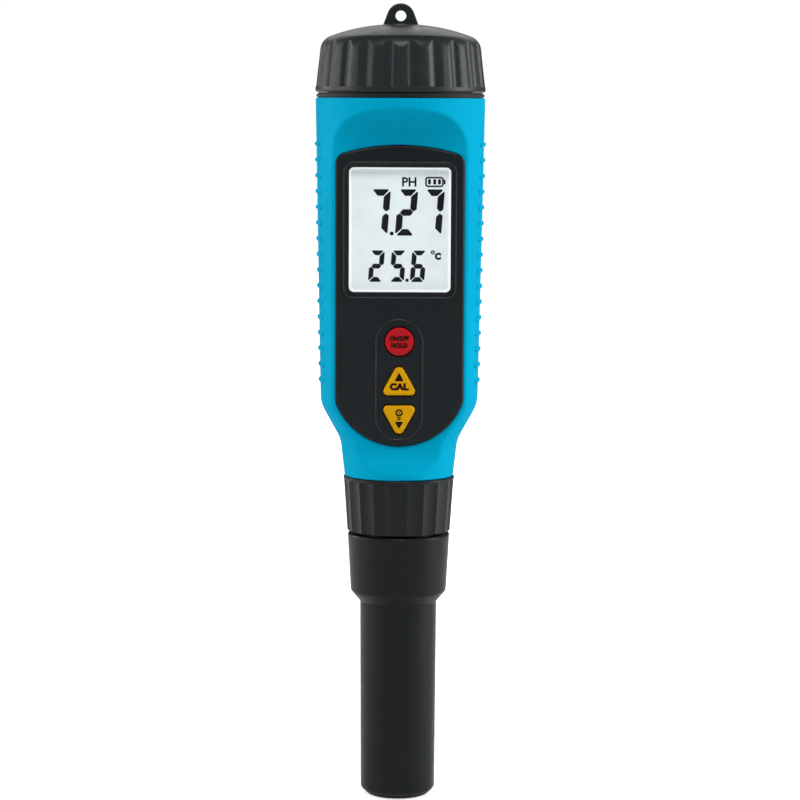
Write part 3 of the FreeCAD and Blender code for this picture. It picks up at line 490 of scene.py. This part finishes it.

# ------------------------------------------------------------------ raised line round the key field, in a lighter black that paints its highlight
def pill_tube(name, r, z0, z1, radius, n):
    """A closed half-sunk bead along a pill-shaped path on the panel."""
    path = [(r * math.cos(math.radians(a)), z1 - r + r * math.sin(math.radians(a))) for a in range(0, 181, 5)]
    path += [(-r, z1 - r - (z1 - z0 - 2 * r) * k / 16) for k in range(1, 16)]
    path += [(r * math.cos(math.radians(a)), z0 + r + r * math.sin(math.radians(a))) for a in range(180, 361, 5)]
    path += [(r, z0 + r + (z1 - z0 - 2 * r) * k / 16) for k in range(1, 16)]
    bm = bmesh.new()
    rings = []
    m = len(path)
    for i, (x, z) in enumerate(path):
        px, pz = path[i - 1]
        nx, nz = path[(i + 1) % m]
        tx, tz = nx - px, nz - pz
        d = math.hypot(tx, tz)
        ux, uz = tz / d, -tx / d
        ring = []
        for k in range(10):
            q = 2 * math.pi * k / 10
            ring.append(bm.verts.new(((x + ux * radius * math.cos(q)) * MM, (FACE_Y + n + radius * math.sin(q) * 0.85) * MM,
                                      (z + uz * radius * math.cos(q)) * MM)))
        rings.append(ring)
    for i in range(m):
        a, b = rings[i], rings[(i + 1) % m]
        for k in range(10):
            bm.faces.new((a[k], b[k], b[(k + 1) % 10], a[(k + 1) % 10])).smooth = True
    bmesh.ops.recalc_face_normals(bm, faces=bm.faces)
    me = bpy.data.meshes.new(name)
    bm.to_mesh(me)
    bm.free()
    return me


# lighter black bead over the panel's raised line: a painted highlight
new_object("key_field_bead", pill_tube("key_field_bead", 5.615, 89.63, 118.96, 0.17, -0.74), "housing", "bead_black_painted_highlight", face_matrix)

# bead along the edge of the window's bevelled surround, in a lighter black: a painted highlight standing in for the
# bevel edge catching light
def rim_tube(name, loop, radius, n):
    bm = bmesh.new()
    m = len(loop)
    rings = []
    for i, (x, z) in enumerate(loop):
        px, pz = loop[i - 1]
        nx, nz = loop[(i + 1) % m]
        tx, tz = nx - px, nz - pz
        d = math.hypot(tx, tz)
        ux, uz = tz / d, -tx / d
        rings.append([bm.verts.new(((x + ux * radius * math.cos(q)) * MM, (FACE_Y + n + radius * math.sin(q) * 0.7) * MM,
                                    (z + uz * radius * math.cos(q)) * MM))
                      for q in (2 * math.pi * k / 10 for k in range(10))])
    for i in range(m):
        a, b = rings[i], rings[(i + 1) % m]
        for k in range(10):
            bm.faces.new((a[k], b[k], b[(k + 1) % 10], a[(k + 1) % 10])).smooth = True
    bmesh.ops.recalc_face_normals(bm, faces=bm.faces)
    me = bpy.data.meshes.new(name)
    bm.to_mesh(me)
    bm.free()
    return me


# painted highlight: a lighter bead in place of the bevel edge's highlight line
rim = rounded_rect(-13.52, 13.52, 124.27, 156.87, 2.45, 12)
new_object("window_edge_highlight", rim_tube("window_edge_highlight", rim, 0.15, -0.73), "housing", "bead_black_painted_highlight", face_matrix)

# ------------------------------------------------------------------ key legends
KF = -1.25
def legend(name, mesh, body, mat):
    return new_object(name, mesh, body, mat, face_matrix)


legend("power_legend_top", text_mesh("power_legend_top", "ON/OFF", -2.30, 2.30, 113.80, 115.08, KF - 0.03, KF + 0.01, 0.080, 1.12), "power_key", "legend_dark")
legend("power_legend_low", text_mesh("power_legend_low", "HOLD", -1.98, 1.98, 112.10, 113.38, KF - 0.03, KF + 0.01, 0.080, 1.12), "power_key", "legend_dark")
tri = [round_corners([(-1.08, 104.05), (1.08, 104.05), (0.0, 106.15)], 0.14)]
legend("cal_up_arrow", plate_mesh("cal_up_arrow", tri, KF - 0.03, KF + 0.01), "cal_up_key", "legend_black")
legend("cal_up_legend", text_mesh("cal_up_legend", "CAL", -2.28, 2.28, 101.80, 103.60, KF - 0.03, KF + 0.01, 0.085, 1.12), "cal_up_key", "legend_dark")
bulb = [(circle(0, 96.32, 0.90, 36), [circle(0, 96.32, 0.50, 36)]),
        rounded_rect(-0.46, 0.46, 94.98, 95.28, 0.06), rounded_rect(-0.38, 0.38, 94.54, 94.84, 0.06),
        rounded_rect(-0.12, 0.12, 95.95, 96.60, 0.05)]
tri = [round_corners([(-1.06, 94.15), (0.0, 92.45), (1.06, 94.15)], 0.14)]
legend("light_down_lamp", plate_mesh("light_down_lamp", bulb, KF - 0.03, KF + 0.01), "light_down_key", "legend_dark")
legend("light_down_arrow", plate_mesh("light_down_arrow", tri, KF - 0.03, KF + 0.01), "light_down_key", "legend_black")

# ------------------------------------------------------------------ stage, lights, camera
m = Mat("studio_white")
lpn = m.nt.nodes.new("ShaderNodeLightPath")
far = m.span(m.math("SQRT", m.math("ADD", m.math("POWER", m.axis(0), 2.0), m.math("POWER", m.axis(1), 2.0))), 0.70, 1.05, 120.0, 700.0)
m.set(color=m.mix(m.noise(0.004, 2), (0.84, 0.84, 0.84), (0.87, 0.87, 0.87)), rough=0.9, spec=0.05, emit_color=(1, 1, 1),
      emit=m.math("MULTIPLY", lpn.outputs["Is Camera Ray"], far))
bm = bmesh.new()
rings = []
for r in (0.08, 0.3, 1.0, 2.6):
    rings.append([bm.verts.new((r * math.cos(2 * math.pi * i / 96), r * math.sin(2 * math.pi * i / 96), -0.0002)) for i in range(96)])
bm.faces.new(rings[0])
for a, b in zip(rings, rings[1:]):
    for i in range(96):
        bm.faces.new((a[i], b[i], b[(i + 1) % 96], a[(i + 1) % 96]))
bmesh.ops.recalc_face_normals(bm, faces=bm.faces)
me = bpy.data.meshes.new("studio_floor")
bm.to_mesh(me)
bm.free()
me.materials.append(m.m)
floor = bpy.data.objects.new("studio_floor", me)
scene.collection.objects.link(floor)

world = bpy.data.worlds.new("studio")
scene.world = world
world.use_nodes = True
nt = world.node_tree
bg = nt.nodes["Background"]
tc = nt.nodes.new("ShaderNodeTexCoord")
sx = nt.nodes.new("ShaderNodeSeparateXYZ")
nt.links.new(tc.outputs["Generated"], sx.inputs[0])
ab = nt.nodes.new("ShaderNodeMath"); ab.operation = "ABSOLUTE"
nt.links.new(sx.outputs[0], ab.inputs[0])
mr = nt.nodes.new("ShaderNodeMapRange")
mr.inputs[1].default_value, mr.inputs[2].default_value = 0.35, 0.95
mr.inputs[3].default_value, mr.inputs[4].default_value = 0.05, 0.22
nt.links.new(ab.outputs[0], mr.inputs[0])
bg.inputs[0].default_value = (0.97, 0.985, 1.0, 1)
lp = nt.nodes.new("ShaderNodeLightPath")
mx = nt.nodes.new("ShaderNodeMix")
nt.links.new(lp.outputs["Is Camera Ray"], mx.inputs[0])
nt.links.new(mr.outputs[0], mx.inputs[2])
mx.inputs[3].default_value = 1.05
nt.links.new(mx.outputs[0], bg.inputs[1])


def area(name, loc, size, size_y, power, target=(0, 0, 0.1), color=(1, 1, 1)):
    li = bpy.data.lights.new(name, "AREA")
    li.shape = "RECTANGLE"
    li.size, li.size_y = size, size_y
    li.energy = power
    li.color = color
    o = bpy.data.objects.new(name, li)
    scene.collection.objects.link(o)
    o.location = loc
    o.rotation_euler = (Vector(target) - Vector(loc)).to_track_quat("-Z", "Y").to_euler()
    return o


area("soft_front_high", (0.0, -0.75, 1.10), 0.7, 0.5, 10.0)
area("soft_right", (0.90, -0.02, 0.20), 0.55, 0.9, 9.6)
area("rim_left", (-0.74, 0.40, 0.15), 0.09, 0.9, 3.0)
area("fill_left", (-0.90, -0.12, 0.20), 0.40, 0.8, 3.9)
area("soft_back_high", (0.0, 0.95, 0.70), 1.1, 0.30, 2.6)

cam_data = bpy.data.cameras.new("camera")
cam_data.sensor_width = 36.0
cam_data.lens = 36.0 * 2997 / 800
cam = bpy.data.objects.new("camera", cam_data)
scene.collection.objects.link(cam)
dist, tilt, roll = 0.737, math.radians(5.8), math.radians(0.27)
look = Vector((0.00022, 0, 0.09826))
cam.location = look + Vector((0, -dist * math.cos(tilt), dist * math.sin(tilt)))
cam.rotation_euler = ((look - cam.location).to_track_quat("-Z", "Y").to_matrix() @ Matrix.Rotation(roll, 3, "Z")).to_euler()
cam_data.clip_start, cam_data.clip_end = 0.01, 20
scene.camera = cam
scene.view_settings.view_transform = "Standard"
